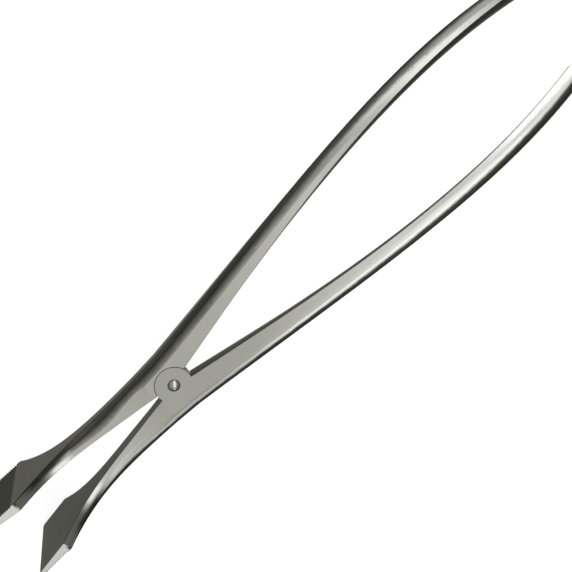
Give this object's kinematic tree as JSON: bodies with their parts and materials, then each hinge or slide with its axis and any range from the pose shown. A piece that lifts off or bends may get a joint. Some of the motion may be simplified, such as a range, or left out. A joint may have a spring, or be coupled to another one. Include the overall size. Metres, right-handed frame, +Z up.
{
  "type": "plaster spreader",
  "caption": "Long-handled plaster cast spreader: lap-jointed arms on a rivet, squeezing the handles spreads wide serrated paddles.",
  "frame": {"origin": "on the surface that the paddles' lower edges stand on, under the middle of the instrument's box at rest", "axes": "+X from the paddles towards the handle ends, +Y towards the left arm, +Z up along the rivet"},
  "size_m": [0.2704, 0.0554, 0.032],
  "materials": {
    "arm_steel": "satin stainless steel",
    "rivet_steel": "satin stainless steel, slightly brighter on the dome"
  },
  "bodies": {
    "left": {"left_arm": "arm_steel", "pivot_rivet": "rivet_steel"},
    "right": {"right_arm": "arm_steel"}
  },
  "joints": [
    {"name": "jaw_spread", "type": "hinge", "parent": "left", "child": "right", "pos_m": [-0.05707, 0, 0.016], "axis": [0, 0, 1], "range_deg": [-17.2, 10]}
  ]
}
